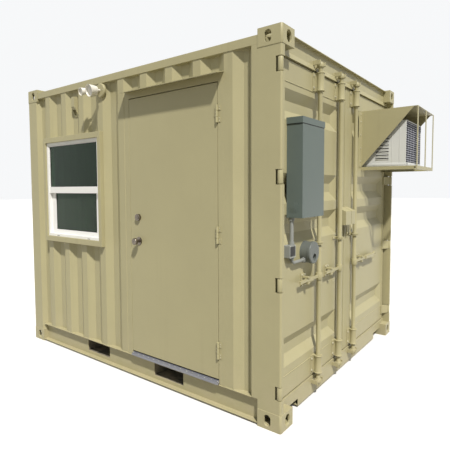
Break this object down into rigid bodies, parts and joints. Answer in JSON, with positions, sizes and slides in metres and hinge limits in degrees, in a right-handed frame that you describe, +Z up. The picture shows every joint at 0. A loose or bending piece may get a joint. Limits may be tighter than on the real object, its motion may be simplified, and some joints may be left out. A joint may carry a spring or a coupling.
{
  "type": "shipping container cabin",
  "caption": "Small steel shipping container cabin: house door and window in one side, cargo doors with lock rods at the end, electrical box, hooded air conditioner.",
  "frame": {"origin": "middle of the whole cabin's footprint, on the ground", "axes": "+X along the container towards the cargo doors, -Y is the front with the house door and window, +Z up"},
  "size_m": [3.406, 2.578, 2.591],
  "materials": {
    "container_paint": "semi-gloss tan paint",
    "door_paint": "smooth semi-gloss tan paint",
    "underside_steel": "dark matte underbody paint",
    "floor_plywood": "varnished plywood",
    "white_vinyl": "satin white vinyl",
    "window_glass": "clear glass with a dark room behind",
    "mill_aluminium": "mill-finished aluminium",
    "satin_chrome": "satin chrome",
    "white_lamp": "white powder coat",
    "enclosure_paint": "satin grey-green paint",
    "conduit_metal": "conduit painted with the container",
    "inlet_plastic": "grey moulded housing",
    "ac_enamel": "white enamel",
    "ac_fin_metal": "dark bare fins"
  },
  "bodies": {
    "cabin": {"corner_castings": "container_paint", "left_posts": "container_paint", "door_posts": "container_paint", "top_rails": "container_paint", "bottom_side_rails": "container_paint", "bottom_end_rail": "container_paint", "front_wall": "container_paint", "front_wall_under_window": "container_paint", "front_wall_over_openings": "container_paint", "back_wall": "container_paint", "left_end_wall": "container_paint", "roof": "container_paint", "window_surround": "container_paint", "door_frame": "container_paint", "drip_cap": "container_paint", "door_header": "container_paint", "door_sill": "container_paint", "cargo_hinge_pins": "container_paint", "rod_keepers": "container_paint", "lamp_box": "container_paint", "vent_box": "container_paint", "door_frame_hinges": "container_paint", "fork_tunnels": "underside_steel", "cross_members": "underside_steel", "floor": "floor_plywood", "window_frame": "white_vinyl", "window_sashes": "white_vinyl", "window_glass": "window_glass", "threshold": "mill_aluminium", "lamp_heads": "white_lamp"},
    "front_door": {"door_leaf": "door_paint", "door_leaf_hinges": "container_paint", "door_locks": "satin_chrome"},
    "door_knob_body": {"door_knob": "satin_chrome"},
    "cargo_door_left": {"left_leaf_frame": "container_paint", "left_leaf_panel": "container_paint", "left_leaf_hinges": "container_paint", "left_rod_guides": "container_paint", "lock_box_left": "container_paint", "enclosure_box": "enclosure_paint", "enclosure_cover": "enclosure_paint", "power_inlet": "inlet_plastic", "conduit": "conduit_metal"},
    "cargo_door_right": {"right_leaf_frame": "container_paint", "right_leaf_panel": "container_paint", "right_leaf_hinges": "container_paint", "right_rod_guides": "container_paint", "lock_box_right": "container_paint", "hood_top": "container_paint", "hood_sides": "container_paint", "hood_frame": "container_paint", "hood_bars": "container_paint", "ac_casing": "ac_enamel", "ac_fins": "ac_fin_metal"},
    "lock_rod_left_outer_body": {"lock_rod_left_outer": "container_paint"},
    "lock_rod_left_inner_body": {"lock_rod_left_inner": "container_paint"},
    "lock_rod_right_inner_body": {"lock_rod_right_inner": "container_paint"}
  },
  "joints": [
    {"name": "front_door_hinge", "type": "hinge", "parent": "cabin", "child": "front_door", "pos_m": [0.7795, -1.148, 1.258], "axis": [0, 0, 1], "range_deg": [0, 95]},
    {"name": "door_knob_turn", "type": "hinge", "parent": "front_door", "child": "door_knob_body", "pos_m": [-0.0375, -1.139, 1.157], "axis": [0, 1, 0], "range_deg": [-45, 45], "stiffness_Nm_per_rad": 0.5},
    {"name": "cargo_door_left_hinge", "type": "hinge", "parent": "cabin", "child": "cargo_door_left", "pos_m": [1.266, -1.127, 1.292], "axis": [0, 0, -1], "range_deg": [0, 180]},
    {"name": "cargo_door_right_hinge", "type": "hinge", "parent": "cabin", "child": "cargo_door_right", "pos_m": [1.266, 1.267, 1.292], "axis": [0, 0, 1], "range_deg": [0, 180]},
    {"name": "lock_rod_left_outer_turn", "type": "hinge", "parent": "cargo_door_left", "child": "lock_rod_left_outer_body", "pos_m": [1.258, -0.52, 0.925], "axis": [0, 0, 1], "range_deg": [0, 100]},
    {"name": "lock_rod_left_inner_turn", "type": "hinge", "parent": "cargo_door_left", "child": "lock_rod_left_inner_body", "pos_m": [1.258, -0.118, 0.925], "axis": [0, 0, 1], "range_deg": [0, 100]},
    {"name": "lock_rod_right_inner_turn", "type": "hinge", "parent": "cargo_door_right", "child": "lock_rod_right_inner_body", "pos_m": [1.258, 0.227, 0.925], "axis": [0, 0, -1], "range_deg": [0, 100]}
  ]
}
